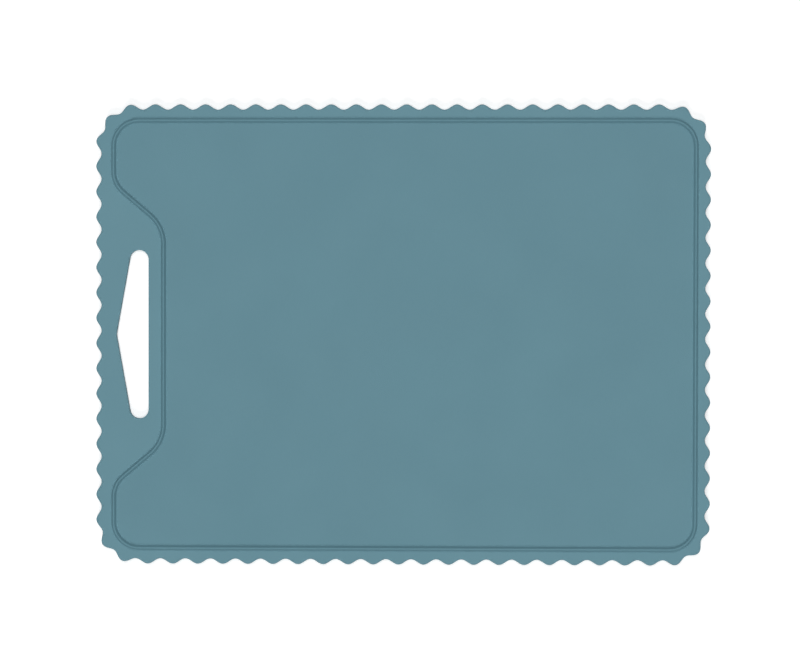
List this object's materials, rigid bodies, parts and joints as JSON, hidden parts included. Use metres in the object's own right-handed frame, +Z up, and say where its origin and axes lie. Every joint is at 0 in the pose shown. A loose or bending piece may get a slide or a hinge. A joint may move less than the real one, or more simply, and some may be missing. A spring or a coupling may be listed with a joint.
{
  "type": "silicone cutting board",
  "caption": "Flat rectangular silicone cutting board with a wavy edge, a raised juice bead and a chevron hand slot, stiffened by a plate inside.",
  "frame": {"origin": "middle of the underside, on the surface that the board lies on", "axes": "+X along the board's length, away from the hand slot; +Y across the board; +Z up, out of the cutting face"},
  "size_m": [0.3, 0.2248, 0.0054],
  "materials": {
    "silicone_top": "matte grey-teal silicone",
    "core_plastic": "natural glass-filled polypropylene",
    "silicone_base": "matte grey-teal silicone"
  },
  "bodies": {
    "root": {"cutting_skin": "silicone_top", "core_plate": "core_plastic", "base_skin": "silicone_base"}
  },
  "joints": []
}
